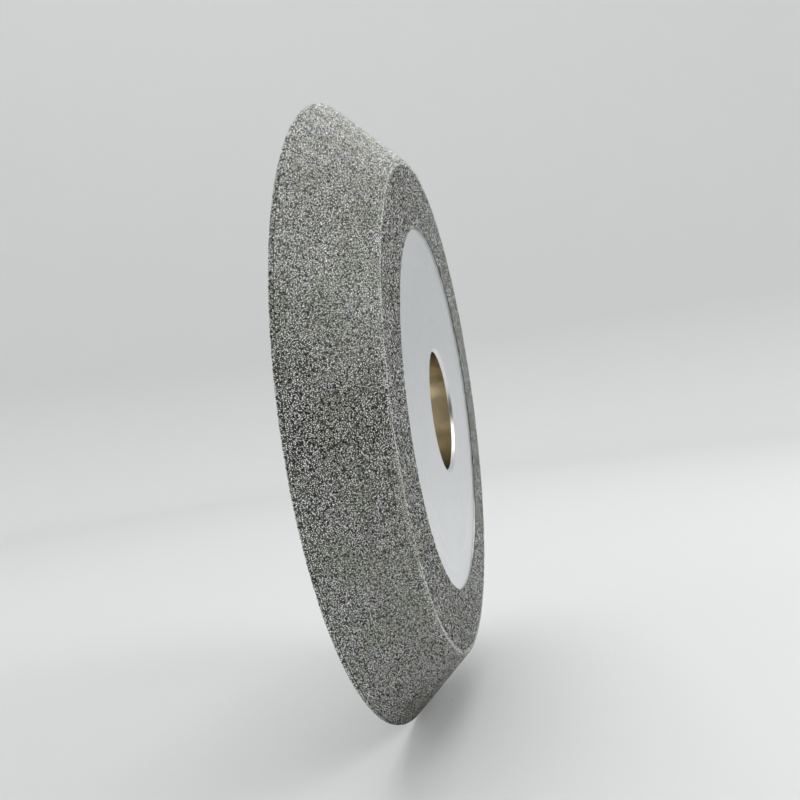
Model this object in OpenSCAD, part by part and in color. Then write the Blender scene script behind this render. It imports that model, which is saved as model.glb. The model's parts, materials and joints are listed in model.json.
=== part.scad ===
// Bevelled grinding wheel with electroplated diamond on a turned steel blank.
// The wheel stands upright. It spins about Y, its plated front faces -Y and its
// large rim is at the back. The origin is on the axis, midway through the blank.

/* [Steel blank] */
// Largest diameter of the turned blank, at its back rim
blank_d = 100; // [84:1:160]
// Thickness between the two ground hub faces
blank_t = 10; // [4:0.5:18]
// Angle between the bevel and the wheel's axis
bevel_angle = 45; // [15:1:60]
// Radius turned where the bevel meets the front face
ridge_r = 0.5; // [0.2:0.1:1.5]
// Radius that breaks the sharp back rim
rim_r = 0.2; // [0.1:0.05:1]

/* [Bore] */
// Diameter of the bore that slides on the spindle
bore_d = 20; // [8:0.5:50]
// Leg of the 45 degree chamfer at each end of the bore
bore_chamfer = 0.5; // [0.1:0.1:1.5]

/* [Hub faces] */
// Diameter of the bare ground face on the front
front_hub_d = 60; // [26:1:78]
// Diameter of the bare ground face on the back
back_hub_d = 90; // [26:1:96]
// Depth ground off each hub face after the wheel is plated
hub_grind = 0.05; // [0.02:0.01:0.2]

/* [Plating] */
// Thickness of the nickel strike that keys the plating to the steel
strike_t = 0.05; // [0.03:0.01:0.1]
// Thickness of the nickel bond built up around the grains
bond_t = 0.15; // [0.08:0.01:0.3]
// Height by which the diamond grains stand out of the bond
grain_tips_h = 0.1; // [0.05:0.01:0.2]

/* [Hidden] */

$fn = 180;
ARC_STEPS = 6;

// Directions that a surface faces in the (radius, axial) half plane, in degrees:
// 0 is straight outwards, FRONT is towards -Y and BACK towards +Y.
FRONT = 90;
BACK = -90;
ridge_middle = (FRONT + bevel_angle) / 2;

// The hub faces, and the turned faces outside them that the plating sits on
front_hub_y = -blank_t / 2;
back_hub_y = blank_t / 2;
front_seat_y = front_hub_y - hub_grind;
back_seat_y = back_hub_y + hub_grind;
front_hub_r = front_hub_d / 2;
back_hub_r = back_hub_d / 2;
bore_r = bore_d / 2;

// Heights above the steel at which each layer ends
strike_top = strike_t;
bond_top = strike_top + bond_t;
grain_top = bond_top + grain_tips_h;

// The rim arc sits at the largest diameter, the bevel is tangent to it, and the
// ridge arc is tangent to the bevel and to the front seat.
function facing(angle) = [cos(angle), -sin(angle)];
rim_centre = [blank_d / 2 - rim_r, back_seat_y - rim_r];
bevel_distance = rim_centre * facing(bevel_angle) + rim_r;
ridge_centre_y = front_seat_y + ridge_r;
ridge_centre = [
    (bevel_distance - ridge_r + sin(bevel_angle) * ridge_centre_y) / cos(bevel_angle),
    ridge_centre_y
];

function arc(centre, radius, from, to) = [
    for (i = [0:ARC_STEPS]) centre + radius * facing(from + (to - from) * i / ARC_STEPS)
];
function reversed(points) = [for (i = [len(points) - 1:-1:0]) points[i]];

// Points at a height above the steel, along each part of the plated surface
function front_edge(height) = [[front_hub_r, front_seat_y - height]];
function ridge(height, from, to) = arc(ridge_centre, ridge_r + height, from, to);
function rim(height) = arc(rim_centre, rim_r + height, bevel_angle, BACK);
function back_edge(height) = [[back_hub_r, back_seat_y + height]];

function plated_line(height) = concat(
    front_edge(height),
    ridge(height, FRONT, bevel_angle),
    rim(height),
    back_edge(height)
);
function front_band_line(height) = concat(
    front_edge(height),
    ridge(height, FRONT, ridge_middle)
);
function bevel_line(height) = concat(
    ridge(height, ridge_middle, bevel_angle),
    [rim(height)[0]]
);
function rim_and_back_line(height) = concat(rim(height), back_edge(height));

// Turns a closed outline in the (radius, axial) half plane about the Y axis
module turned(outline) {
    rotate([-90, 0, 0])
        rotate_extrude()
            polygon(outline);
}

// Blank turned from bar, with its hub faces and its bore ground
module steel_blank() {
    color("lightsteelblue")
        turned(concat(
            [
                [bore_r, front_hub_y + bore_chamfer],
                [bore_r + bore_chamfer, front_hub_y],
                [front_hub_r, front_hub_y]
            ],
            plated_line(0),
            [
                [back_hub_r, back_hub_y],
                [bore_r + bore_chamfer, back_hub_y],
                [bore_r, back_hub_y - bore_chamfer]
            ]
        ));
}

// First nickel layer, plated on to everything outside the masked hub faces
module nickel_strike() {
    color("silver")
        turned(concat(plated_line(strike_top), reversed(plated_line(0))));
}

// Nickel built up between the grains until it grips them
module nickel_bond() {
    color("gray")
        turned(concat(plated_line(bond_top), reversed(plated_line(strike_top))));
}

// Grains on the flat front band, as one skin through their tips
module front_band_diamonds() {
    color("slategray")
        turned(concat(front_band_line(grain_top), reversed(front_band_line(bond_top))));
}

// Grains on the bevel, which does the grinding, as one skin through their tips
module bevel_diamonds() {
    color("dimgray")
        turned(concat(bevel_line(grain_top), reversed(bevel_line(bond_top))));
}

// Grains round the rim and on the narrow back band, as one skin through their tips
module rim_and_back_diamonds() {
    color("darkslategray")
        turned(concat(rim_and_back_line(grain_top), reversed(rim_and_back_line(bond_top))));
}

steel_blank();
nickel_strike();
nickel_bond();
front_band_diamonds();
bevel_diamonds();
rim_and_back_diamonds();
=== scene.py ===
import json
from math import cos, hypot, pi, radians, sin

import bmesh
import bpy
import numpy as np
from mathutils import Matrix, Vector, noise


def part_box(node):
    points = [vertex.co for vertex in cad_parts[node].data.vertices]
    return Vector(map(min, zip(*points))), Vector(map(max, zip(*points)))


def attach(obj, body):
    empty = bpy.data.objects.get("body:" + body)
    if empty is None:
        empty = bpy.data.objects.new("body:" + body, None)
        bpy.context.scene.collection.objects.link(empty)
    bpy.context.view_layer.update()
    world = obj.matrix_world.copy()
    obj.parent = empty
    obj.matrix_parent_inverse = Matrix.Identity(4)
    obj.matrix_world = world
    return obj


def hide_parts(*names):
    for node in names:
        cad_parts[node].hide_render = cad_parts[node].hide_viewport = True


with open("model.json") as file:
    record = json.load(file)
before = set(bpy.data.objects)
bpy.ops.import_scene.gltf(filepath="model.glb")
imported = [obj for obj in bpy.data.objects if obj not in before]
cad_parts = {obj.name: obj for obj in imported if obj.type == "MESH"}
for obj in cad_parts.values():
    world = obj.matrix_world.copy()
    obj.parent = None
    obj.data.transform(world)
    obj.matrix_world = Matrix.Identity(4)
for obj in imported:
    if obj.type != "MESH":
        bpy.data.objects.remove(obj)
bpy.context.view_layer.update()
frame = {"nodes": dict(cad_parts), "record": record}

# ---------------------------------------------------------------------------
# Steel blank. Turned from bar, then its two hub faces and its bore are ground.
# Only the hub faces, the bore and its chamfers stay bare; the rest is plated.
# ---------------------------------------------------------------------------
MM = 0.001
TURN = radians(360)
BEVEL = radians(45)
FRONT = radians(90)
BACK = radians(-90)
FRONT_HUB_R = 30 * MM
BACK_HUB_R = 45 * MM
RIDGE_ROUND = 0.5 * MM
RIM_ROUND = 0.2 * MM
EDGE_BREAK = 0.08 * MM
HOLD = 1.7  # how far out an eased corner is held flat, in sizes of the curve
BLANK_STEPS = 288

mounts = {mount["name"]: mount for mount in frame["record"]["mounts"]}
bore_r = mounts["bore"]["dims"]["r_mm"] * MM
bore_wall = mounts["bore"]["dims"]["length_mm"] * MM
hub_front_y = mounts["front_hub_face"]["pos_m"][1]
hub_back_y = mounts["back_hub_face"]["pos_m"][1]
chamfer = (hub_back_y - hub_front_y - bore_wall) / 2
blank_low, blank_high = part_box("steel_blank")
seat_front_y = blank_low.y
seat_back_y = blank_high.y


def arc(centre, radius, start, stop, steps):
    """Points on an arc in the (radius, axial) half plane, from one facing angle to another."""
    angles = [start + (stop - start) * i / steps for i in range(steps + 1)]
    return [(centre[0] + radius * cos(a), centre[1] - radius * sin(a)) for a in angles]


# The bevel is tangent to the rim's curve, and the ridge's curve is tangent to the bevel.
rim_centre = (blank_high.x - RIM_ROUND, seat_back_y - RIM_ROUND)
bevel_reach = rim_centre[0] * cos(BEVEL) - rim_centre[1] * sin(BEVEL) + RIM_ROUND
ridge_y = seat_front_y + RIDGE_ROUND
ridge_centre = ((bevel_reach - RIDGE_ROUND + ridge_y * sin(BEVEL)) / cos(BEVEL), ridge_y)


def plated_line(height, steps=10):
    """The outline of the plated surface at a height above the steel, from hub to hub."""
    return (
        [(FRONT_HUB_R, seat_front_y - height)]
        + arc(ridge_centre, RIDGE_ROUND + height, FRONT, BEVEL, steps)
        + arc(rim_centre, RIM_ROUND + height, BEVEL, BACK, steps)
        + [(BACK_HUB_R, seat_back_y + height)]
    )


def eased(before, corner, after, size):
    """A corner broken by a small curve, with a point either side that holds the flats flat."""
    back = (Vector(before) - Vector(corner)).normalized() * size
    on = (Vector(after) - Vector(corner)).normalized() * size
    curve = [Vector(corner) + back * (1 - t) ** 2 + on * t**2 for t in (0, 0.33, 0.67, 1)]
    return [Vector(corner) + back * HOLD, *curve, Vector(corner) + on * HOLD]


def spun(name, outline, steps, smooth_angle=30):
    """Turns an outline of (radius, axial) points once about the wheel's axis."""
    bm = bmesh.new()
    points = [bm.verts.new((r, y, 0)) for r, y in outline]
    edges = [bm.edges.new(pair) for pair in zip(points, points[1:])]
    bmesh.ops.spin(
        bm, geom=points + edges, cent=(0, 0, 0), axis=(0, 1, 0),
        angle=TURN, steps=steps, use_merge=True,
    )
    bmesh.ops.remove_doubles(bm, verts=bm.verts, dist=1e-7)
    bmesh.ops.recalc_face_normals(bm, faces=bm.faces)
    mesh = bpy.data.meshes.new(name)
    bm.to_mesh(mesh)
    bm.free()
    piece = bpy.data.objects.new(name, mesh)
    bpy.context.scene.collection.objects.link(piece)
    mesh.shade_smooth()
    mesh.set_sharp_from_angle(angle=radians(smooth_angle))
    return piece


bore_middle = (bore_r, 0)
front_inner = (bore_r, hub_front_y + chamfer)
front_outer = (bore_r + chamfer, hub_front_y)
front_rim = (FRONT_HUB_R, hub_front_y)
back_rim = (BACK_HUB_R, hub_back_y)
back_outer = (bore_r + chamfer, hub_back_y)
back_inner = (bore_r, hub_back_y - chamfer)
blank = spun("ground_steel_blank", [
    bore_middle,
    *eased(bore_middle, front_inner, front_outer, EDGE_BREAK),
    *eased(front_inner, front_outer, front_rim, EDGE_BREAK),
    front_rim,
    *plated_line(0),
    back_rim,
    *eased(back_rim, back_outer, back_inner, EDGE_BREAK),
    *eased(back_outer, back_inner, bore_middle, EDGE_BREAK),
    bore_middle,
], BLANK_STEPS)


def linear(colour):
    """An sRGB hex colour such as "#C0C0C0" as linear red, green, blue and alpha."""
    parts = [int(colour[i:i + 2], 16) / 255 for i in (1, 3, 5)]
    return (*[c / 12.92 if c <= 0.04045 else ((c + 0.055) / 1.055) ** 2.4 for c in parts], 1)


def add(tree, kind, links=(), **settings):
    """Adds a node with its settings; links are pairs of (input, output socket or value)."""
    node = tree.nodes.new(kind)
    for key, value in settings.items():
        setattr(node, key, value)
    for socket, source in links:
        if isinstance(source, bpy.types.NodeSocket):
            tree.links.new(source, node.inputs[socket])
        else:
            node.inputs[socket].default_value = source
    return node


def new_material(name):
    """An empty node material, as its tree and its surface's Principled shader."""
    material = bpy.data.materials.new(name)
    material.use_nodes = True
    tree = material.node_tree
    return material, tree, tree.nodes["Principled BSDF"]


# Ground tool steel: bright, satin, with fine shallow rings left by the wheel that ground it. The bore
# is smoother and tinted straw.
RING_GAP = 0.35 * MM
CLOUD_W = 18 * MM
material, tree, shader = new_material("ground_tool_steel")
place = add(tree, "ShaderNodeTexCoord").outputs["Object"]
split = add(tree, "ShaderNodeSeparateXYZ", [(0, place)])
flat = add(tree, "ShaderNodeCombineXYZ", [("X", split.outputs["X"]), ("Y", split.outputs["Z"])])
radius = add(
    tree, "ShaderNodeVectorMath", [(0, flat.outputs[0])], operation="LENGTH"
).outputs["Value"]
along = add(tree, "ShaderNodeCombineXYZ", [("X", radius), ("Y", split.outputs["Y"])]).outputs[0]
rings = add(
    tree, "ShaderNodeTexNoise", [("Vector", along), ("Scale", 1 / RING_GAP), ("Detail", 3.0)]
).outputs["Fac"]
cloud = add(
    tree, "ShaderNodeTexNoise", [("Vector", place), ("Scale", 1 / CLOUD_W), ("Detail", 2.0)]
).outputs["Fac"]
in_bore = add(
    tree, "ShaderNodeMapRange",
    [("Value", radius), ("From Min", bore_r + EDGE_BREAK), ("From Max", bore_r + EDGE_BREAK / 2)],
).outputs[0]
satin = add(
    tree, "ShaderNodeMapRange", [("Value", rings), ("To Min", 0.22), ("To Max", 0.38)]
).outputs[0]
rough = add(
    tree, "ShaderNodeMix", [("Factor", in_bore), ("A", satin), ("B", 0.2)], data_type="FLOAT"
).outputs[0]
bright = add(
    tree, "ShaderNodeMix",
    [("Factor", cloud), ("A", linear("#D9DADD")), ("B", linear("#E3E4E6"))], data_type="RGBA",
).outputs["Result"]
tone = add(
    tree, "ShaderNodeMix",
    [("Factor", in_bore), ("A", bright), ("B", linear("#D2C8B3"))], data_type="RGBA",
).outputs["Result"]
bump = add(
    tree, "ShaderNodeBump", [("Height", rings), ("Strength", 0.4), ("Distance", 0.012 * MM)]
).outputs[0]
tree.links.new(tone, shader.inputs["Base Color"])
tree.links.new(rough, shader.inputs["Roughness"])
tree.links.new(bump, shader.inputs["Normal"])
shader.inputs["Metallic"].default_value = 1
blank.data.materials.append(material)
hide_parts("steel_blank")
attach(blank, "root")

# ---------------------------------------------------------------------------
# Nickel strike. A thin bright layer that keys the plating to the steel; only its
# edge shows, round both hub faces.
# ---------------------------------------------------------------------------
# Bright nickel: mirror-like with a faint yellow, very slightly grainy.
STRIKE_GRAIN = 0.3 * MM
material, tree, shader = new_material("bright_strike_nickel")
place = add(tree, "ShaderNodeTexCoord").outputs["Object"]
grain = add(
    tree, "ShaderNodeTexNoise", [("Vector", place), ("Scale", 1 / STRIKE_GRAIN), ("Detail", 2.0)]
).outputs["Fac"]
rough = add(
    tree, "ShaderNodeMapRange", [("Value", grain), ("To Min", 0.2), ("To Max", 0.4)]
).outputs[0]
tone = add(
    tree, "ShaderNodeMix",
    [("Factor", grain), ("A", linear("#C4C0B6")), ("B", linear("#D8D5CD"))], data_type="RGBA",
).outputs["Result"]
tree.links.new(tone, shader.inputs["Base Color"])
tree.links.new(rough, shader.inputs["Roughness"])
shader.inputs["Metallic"].default_value = 1
strike = frame["nodes"]["nickel_strike"]
strike.material_slots[0].material = material

# ---------------------------------------------------------------------------
# Nickel bond. Dull nickel built up round the grains, so its skin is gently lumpy
# and its edge at the hub is not quite round, where the masking ended.
# ---------------------------------------------------------------------------
BOND_STEP = 0.42 * MM
LUMP_H = 0.022 * MM
LUMP_W = 0.9 * MM
EDGE_WAVE = 0.07 * MM
EDGE_REACH = 0.3 * MM
SLOW_WAVES = 22
QUICK_WAVES = 90
QUICK_SHARE = 0.6
BOND_STEPS = 720
bond_top = seat_front_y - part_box("nickel_bond")[0].y


def filled(line, step):
    """A line with points added so that none is further than a step from the next."""
    points = [line[0]]
    for start, stop in zip(line, line[1:]):
        count = max(1, round(hypot(stop[0] - start[0], stop[1] - start[1]) / step))
        points += [Vector(start).lerp(Vector(stop), i / count) for i in range(1, count + 1)]
    return points


bond = spun("nickel_bond_skin", [
    (FRONT_HUB_R, seat_front_y),
    *filled(plated_line(bond_top, 3), BOND_STEP),
    (BACK_HUB_R, seat_back_y),
], BOND_STEPS, 60)
outwards = [vertex.normal.copy() for vertex in bond.data.vertices]
for vertex, out in zip(bond.data.vertices, outwards):
    around = Vector((vertex.co.x, 0, vertex.co.z))
    hub_r = FRONT_HUB_R if vertex.co.y < 0 else BACK_HUB_R
    at_edge = max(0, 1 - abs(around.length - hub_r) / EDGE_REACH)
    around.normalize()
    vertex.co += out * noise.noise(vertex.co / LUMP_W) * LUMP_H
    wave = noise.noise(around * SLOW_WAVES) + QUICK_SHARE * noise.noise(around * QUICK_WAVES)
    vertex.co += around * wave * at_edge * EDGE_WAVE
bond.data.update()

# Electroplated nickel, dull: grey with a faint green cast, satin, finely pitted. Its colour is kept
# dark as painted shade between the grains, and the pits are painted darker still as painted shade in
# the hollows of the bump.
PIT_W = 0.25 * MM
PATCH_W = 9 * MM
material, tree, shader = new_material("dull_nickel_with_painted_shade")
place = add(tree, "ShaderNodeTexCoord").outputs["Object"]
pits_and_painted_shade = add(
    tree, "ShaderNodeTexNoise", [("Vector", place), ("Scale", 1 / PIT_W), ("Detail", 3.0)]
).outputs["Fac"]
patch = add(
    tree, "ShaderNodeTexNoise", [("Vector", place), ("Scale", 1 / PATCH_W), ("Detail", 2.0)]
).outputs["Fac"]
# Painted shade: dark where the pits sink, and dark overall between the grains.
tone = add(
    tree, "ShaderNodeMix",
    [("Factor", pits_and_painted_shade), ("A", linear("#2C2C2A")), ("B", linear("#8C8D88"))], data_type="RGBA",
).outputs["Result"]
tint = add(
    tree, "ShaderNodeMix",
    [("Factor", patch), ("A", tone), ("B", linear("#585C55"))], data_type="RGBA",
).outputs["Result"]
bump = add(
    tree, "ShaderNodeBump", [("Height", pits_and_painted_shade), ("Strength", 0.6), ("Distance", 0.05 * MM)]
).outputs[0]
tree.links.new(tint, shader.inputs["Base Color"])
tree.links.new(bump, shader.inputs["Normal"])
shader.inputs["Roughness"].default_value = 0.42
shader.inputs["Metallic"].default_value = 1
bond.data.materials.append(material)
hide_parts("nickel_bond")
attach(bond, "root")

# ---------------------------------------------------------------------------
# Diamond grains. Blocky synthetic crystals, a fifth of a millimetre across, in a
# single layer. The bond holds each to about half of its height.
# ---------------------------------------------------------------------------
GRAIN = 0.19 * MM
TIP_UP = 0.1 * MM
TIP_DROP = 0.04 * MM
EDGE_GAP = 0.12 * MM
SIZE_SPREAD = (0.8, 1.25)
ROW_GAP = 0.87  # rows are this share of the pitch apart, as in a hexagonal layer
ROW_JITTER = 0.42
SIDE_JITTER = 0.34
rng = np.random.default_rng(20)


def crystal(make, squash, **sizes):
    """The corners and triangles of one crystal, about one unit across."""
    bm = bmesh.new()
    make(bm, **sizes)
    bmesh.ops.scale(bm, vec=squash, verts=bm.verts)
    bmesh.ops.triangulate(bm, faces=bm.faces)
    bmesh.ops.recalc_face_normals(bm, faces=bm.faces)
    bm.verts.index_update()
    corners = np.array([corner.co for corner in bm.verts])
    faces = np.array([[corner.index for corner in face.verts] for face in bm.faces])
    bm.free()
    return corners, faces


CRYSTALS = [
    crystal(bmesh.ops.create_uvsphere, (1, 1, 1), u_segments=4, v_segments=2, radius=0.62),
    crystal(bmesh.ops.create_uvsphere, (1, 0.8, 0.9), u_segments=4, v_segments=2, radius=0.66),
    crystal(
        bmesh.ops.create_cone, (1, 1, 1),
        cap_ends=True, segments=3, radius1=0.66, radius2=0.5, depth=0.75,
    ),
    crystal(
        bmesh.ops.create_cone, (1, 1, 1),
        cap_ends=True, segments=3, radius1=0.75, radius2=0, depth=0.9,
    ),
]


def turned_any_way(count):
    """Random rotation matrices, evenly spread, from random unit quaternions."""
    q = rng.normal(size=(count, 4))
    q /= np.linalg.norm(q, axis=1)[:, None]
    w, x, y, z = q.T
    return np.stack([
        1 - 2 * (y * y + z * z), 2 * (x * y - z * w), 2 * (x * z + y * w),
        2 * (x * y + z * w), 1 - 2 * (x * x + z * z), 2 * (y * z - x * w),
        2 * (x * z - y * w), 2 * (y * z + x * w), 1 - 2 * (x * x + y * y),
    ], axis=1).reshape(-1, 3, 3)


def seats(line, pitch):
    """Where the grains sit on a surface turned from a line: rows of them, jittered."""
    line = np.array([tuple(point) for point in line])
    lengths = np.hypot(*np.diff(line, axis=0).T)
    travelled = np.concatenate([[0], np.cumsum(lengths)])
    rows = int(travelled[-1] / (pitch * ROW_GAP))
    places, facings = [], []
    for row in range(rows):
        here = (row + 0.5) / rows * travelled[-1]
        round_r = np.interp(here, travelled, line[:, 0])
        count = int(2 * pi * round_r / pitch)
        s = here + rng.uniform(-ROW_JITTER, ROW_JITTER, count) * pitch
        s = np.clip(s, EDGE_GAP, travelled[-1] - EDGE_GAP)
        part = np.clip(np.searchsorted(travelled, s) - 1, 0, len(lengths) - 1)
        r, y = np.interp(s, travelled, line[:, 0]), np.interp(s, travelled, line[:, 1])
        step = line[part + 1] - line[part]
        step /= np.linalg.norm(step, axis=1)[:, None]
        side = rng.uniform(-SIDE_JITTER, SIDE_JITTER, count)
        angle = (np.arange(count) + side + rng.random()) / count * TURN
        to_x, to_z = np.cos(angle), np.sin(angle)
        places.append(np.stack([r * to_x, y, r * to_z], 1))
        facings.append(np.stack([step[:, 1] * to_x, -step[:, 0], step[:, 1] * to_z], 1))
    return np.concatenate(places), np.concatenate(facings)


def grain_piece(name, places, facings, bright_share_and_painted_light, node):
    """Sets a crystal at each place, turned at random, with its tip just proud of the bond."""
    all_corners, all_faces, all_shades, first = [], [], [], 0
    kinds = rng.integers(0, len(CRYSTALS), len(places))
    for kind, (corners, faces) in enumerate(CRYSTALS):
        at, out, bright = (part[kinds == kind] for part in (places, facings, bright_share_and_painted_light))
        count = len(at)
        size = GRAIN * rng.uniform(*SIZE_SPREAD, count)
        shape = np.einsum("nij,kj->nki", turned_any_way(count), corners) * size[:, None, None]
        reach = np.einsum("nki,ni->nk", shape, out).max(1)
        tip = TIP_UP - rng.uniform(0, TIP_DROP, count)
        shape += (at + out * (tip - reach)[:, None])[:, None]
        all_corners.append(shape.reshape(-1, 3))
        index = faces[None] + (np.arange(count) * len(corners))[:, None, None] + first
        all_faces.append(index.reshape(-1, 3))
        # Each grain's tone is random, skewed by its region's share, which also carries painted light.
        all_shades.append(np.repeat(rng.random(count) ** (1 / bright), len(corners)))
        first += count * len(corners)
    corners, faces = np.concatenate(all_corners), np.concatenate(all_faces)
    mesh = bpy.data.meshes.new(name)
    mesh.vertices.add(len(corners))
    mesh.vertices.foreach_set("co", corners.astype(np.float32).ravel())
    mesh.loops.add(faces.size)
    mesh.loops.foreach_set("vertex_index", faces.astype(np.int32).ravel())
    mesh.polygons.add(len(faces))
    mesh.polygons.foreach_set("loop_start", np.arange(0, faces.size, 3, dtype=np.int32))
    mesh.update(calc_edges=True)
    shade = mesh.attributes.new("grain_shade", "FLOAT", "POINT")
    shade.data.foreach_set("value", np.concatenate(all_shades).astype(np.float32))
    mesh.materials.append(diamond)
    piece = bpy.data.objects.new(name, mesh)
    bpy.context.scene.collection.objects.link(piece)
    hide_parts(node)
    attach(piece, "root")


# Synthetic diamond grit: hard, glassy and sharp edged, from smoky grey to nearly
# clear, with a faint yellow green in some grains. Real diamond isn't metallic: it is
# set nearly so here, so that each grain flashes or stays dark as one piece.
TINT_W = 5 * MM
diamond, tree, shader = new_material("synthetic_diamond_grit")
shade = add(tree, "ShaderNodeAttribute", attribute_name="grain_shade").outputs["Fac"]
ramp = add(tree, "ShaderNodeValToRGB", [("Fac", shade)])
for position, colour in ((0.0, "#181816"), (0.45, "#3A3B38"), (0.55, "#D8DAD4"), (1.0, "#FFFFFB")):
    stop = ramp.color_ramp.elements.new(position)
    stop.color = linear(colour)
ramp.color_ramp.elements.remove(ramp.color_ramp.elements[0])
ramp.color_ramp.elements.remove(ramp.color_ramp.elements[-1])
place = add(tree, "ShaderNodeTexCoord").outputs["Object"]
patch = add(
    tree, "ShaderNodeTexNoise", [("Vector", place), ("Scale", 1 / TINT_W), ("Detail", 1.0)]
).outputs["Fac"]
greenness = add(
    tree, "ShaderNodeMapRange", [("Value", patch), ("From Min", 0.45), ("From Max", 0.7)]
).outputs[0]
tint = add(
    tree, "ShaderNodeMix",
    [("Factor", greenness), ("A", ramp.outputs["Color"]), ("B", linear("#F1F2E8"))],
    data_type="RGBA", blend_type="MULTIPLY",
).outputs["Result"]
tree.links.new(tint, shader.inputs["Base Color"])
shader.inputs["Metallic"].default_value = 0.9
shader.inputs["Roughness"].default_value = 0.15

ridge_middle = (FRONT + BEVEL) / 2
front_line = [(FRONT_HUB_R, seat_front_y - bond_top)]
front_line += arc(ridge_centre, RIDGE_ROUND + bond_top, FRONT, ridge_middle, 3)
rim_line = arc(rim_centre, RIM_ROUND + bond_top, BEVEL, BACK, 6)
bevel_line = arc(ridge_centre, RIDGE_ROUND + bond_top, ridge_middle, BEVEL, 3) + rim_line[:1]
rim_line += [(BACK_HUB_R, seat_back_y + bond_top)]

# The share of bright crystals is set per region: fewest on the front band, most on the ridge.
# Painted light: the low share on the front band paints shade on it, and the high share on the ridge
# paints a highlight along it.
RIDGE_PAINTED_HIGHLIGHT = 2.8
RIDGE_REACH = 0.1 * MM
for name, line, node, sectors, pitch, bright_share_and_painted_light in (
    ("front_band_grains", front_line, "front_band_diamonds", 3, 0.2 * MM, 0.75),
    ("bevel_grains", bevel_line, "bevel_diamonds", 6, 0.215 * MM, 2.2),
    ("rim_and_back_grains", rim_line, "rim_and_back_diamonds", 3, 0.215 * MM, 1.8),
):
    places, facings = seats(line, pitch)
    round_r = np.hypot(places[:, 0], places[:, 2])
    from_ridge = np.hypot(round_r - ridge_centre[0], places[:, 1] - ridge_y)
    on_ridge = from_ridge < RIDGE_ROUND + bond_top + RIDGE_REACH
    brightness = np.where(on_ridge, RIDGE_PAINTED_HIGHLIGHT, bright_share_and_painted_light)
    sector = (np.arctan2(places[:, 2], places[:, 0]) / TURN % 1 * sectors).astype(int)
    for n in range(sectors):
        here = sector == n
        grain_piece(f"{name}_{n + 1}", places[here], facings[here], brightness[here], node)

# ---------------------------------------------------------------------------
# Studio. A pale sweep of floor and wall all round, a large soft light overhead,
# and a camera close to the wheel's edge.
# ---------------------------------------------------------------------------
FLOOR_R = 0.5
COVE = 0.12
WALL_TOP = 1.1
TINY = 0.0001
floor_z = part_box("rim_and_back_diamonds")[0].z
sweep_outline = [(TINY, floor_z), (FLOOR_R, floor_z)]
sweep_outline += [
    (FLOOR_R + COVE * sin(radians(a)), floor_z + COVE * (1 - cos(radians(a))))
    for a in range(6, 91, 6)
]
sweep_outline += [(FLOOR_R + COVE, floor_z + WALL_TOP)]


def staged(name, outline, turn, steps, low_colour, high_colour):
    """A paper stage piece spun about the vertical from an outline, toned from foot to top."""
    bm = bmesh.new()
    points = [bm.verts.new((r, 0, z)) for r, z in outline]
    edges = [bm.edges.new(pair) for pair in zip(points, points[1:])]
    bmesh.ops.spin(
        bm, geom=points + edges, cent=(0, 0, 0), axis=(0, 0, 1),
        angle=turn, steps=steps, use_merge=turn == TURN,
    )
    bmesh.ops.recalc_face_normals(bm, faces=bm.faces)
    mesh = bpy.data.meshes.new(name)
    bm.to_mesh(mesh)
    bm.free()
    mesh.shade_smooth()
    piece = bpy.data.objects.new(name, mesh)
    bpy.context.scene.collection.objects.link(piece)
    material, tree, shader = new_material(name + "_paper")
    height = add(
        tree, "ShaderNodeSeparateXYZ", [(0, add(tree, "ShaderNodeTexCoord").outputs["Object"])]
    ).outputs["Z"]
    rise = add(
        tree, "ShaderNodeMapRange",
        [("Value", height), ("From Min", floor_z + COVE * 0.1), ("From Max", floor_z + COVE)],
    ).outputs[0]
    tone = add(
        tree, "ShaderNodeMix",
        [("Factor", rise), ("A", linear(low_colour)), ("B", linear(high_colour))], data_type="RGBA",
    ).outputs["Result"]
    tree.links.new(tone, shader.inputs["Base Color"])
    shader.inputs["Roughness"].default_value = 0.9
    mesh.materials.append(material)
    return piece


# The wall's paper is toned a little darker than the floor's, as painted shade on the wall.
staged("studio_sweep", sweep_outline, TURN, 96, "#EFF0F0", "#E3E4E4")
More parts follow.
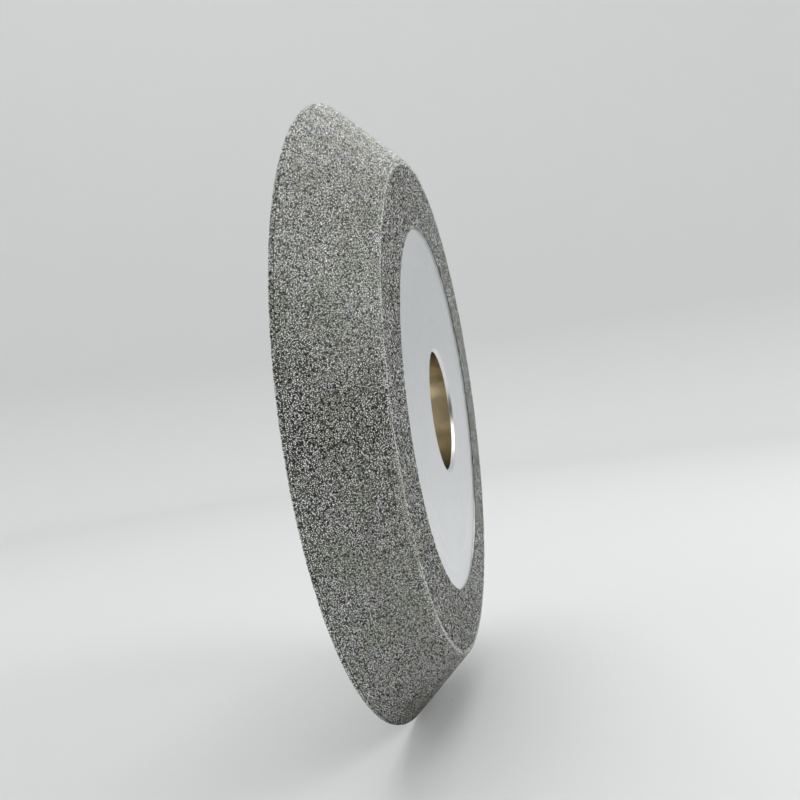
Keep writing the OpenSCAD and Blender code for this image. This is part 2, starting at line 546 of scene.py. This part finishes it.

# Two cards that only reflections see: a brown one stands round the near side and gives the metal its
# warm darks. A dark one lies under the wheel as a painted shadow on the floor, which the wheel's foot
# reflects.
CARD_R = 0.2
CARD_TURN = radians(80)
CARD_START = radians(30)
CARD_FOOT = 0.002
CARD_TOP = 0.098
FOOT_CARD_R = 0.022
FOOT_CARD_LIFT = 0.0004
FOOT_CARD_X = -0.012
near_card = staged(
    "brown_card", [(-CARD_R, floor_z + CARD_FOOT), (-CARD_R, floor_z + CARD_TOP)], CARD_TURN, 24,
    "#48392B", "#48392B",
)
near_card.data.transform(Matrix.Rotation(CARD_START, 4, "Z"))
painted_shadow_card = staged(
    "painted_shadow_card", [(TINY, floor_z + FOOT_CARD_LIFT), (FOOT_CARD_R, floor_z + FOOT_CARD_LIFT)], TURN, 48,
    "#6E6D69", "#6E6D69",
)
painted_shadow_card.data.transform(Matrix.Translation((FOOT_CARD_X, 0, 0)))
for card in (near_card, painted_shadow_card):
    card.visible_camera = False
    card.visible_diffuse = False
    card.visible_shadow = False


def soft_light(name, place, aim, size, power, colour):
    """A square soft light at a place, facing a point."""
    light = bpy.data.lights.new(name, "AREA")
    light.shape = "SQUARE"
    light.size = size
    light.energy = power
    light.color = linear(colour)[:3]
    lamp = bpy.data.objects.new(name, light)
    lamp.location = place
    lamp.rotation_euler = (Vector(aim) - Vector(place)).to_track_quat("-Z", "Y").to_euler()
    bpy.context.scene.collection.objects.link(lamp)


soft_light("overhead_light", (0.1, 0, 0.75), (0, 0, 0), 0.7, 2.7, "#FFFFFF")
soft_light("side_light", (0.02, -0.42, 0.26), (0, 0, 0), 0.3, 0.65, "#FFFFFF")

world = bpy.data.worlds.new("studio_air")
world.use_nodes = True
world.node_tree.nodes["Background"].inputs["Color"].default_value = linear("#FFFFFF")
world.node_tree.nodes["Background"].inputs["Strength"].default_value = 0.34
bpy.context.scene.world = world

CAMERA_PLACE = (-0.1326, -0.0267, 0)
CAMERA_HEADING = radians(-77.1)
CAMERA_TILT = radians(-3.48)
CAMERA_ROLL = radians(-7.68)
view = bpy.data.cameras.new("camera")
view.lens = 35.56
view.sensor_width = 36
view.shift_y = 0.081
view.clip_start = 0.005
camera = bpy.data.objects.new("camera", view)
camera.matrix_world = (
    Matrix.Translation(CAMERA_PLACE)
    @ Matrix.Rotation(CAMERA_HEADING, 4, "Z")
    @ Matrix.Rotation(pi / 2 + CAMERA_TILT, 4, "X")
    @ Matrix.Rotation(CAMERA_ROLL, 4, "Z")
)
bpy.context.scene.collection.objects.link(camera)
bpy.context.scene.camera = camera
bpy.context.scene.view_settings.view_transform = "Standard"
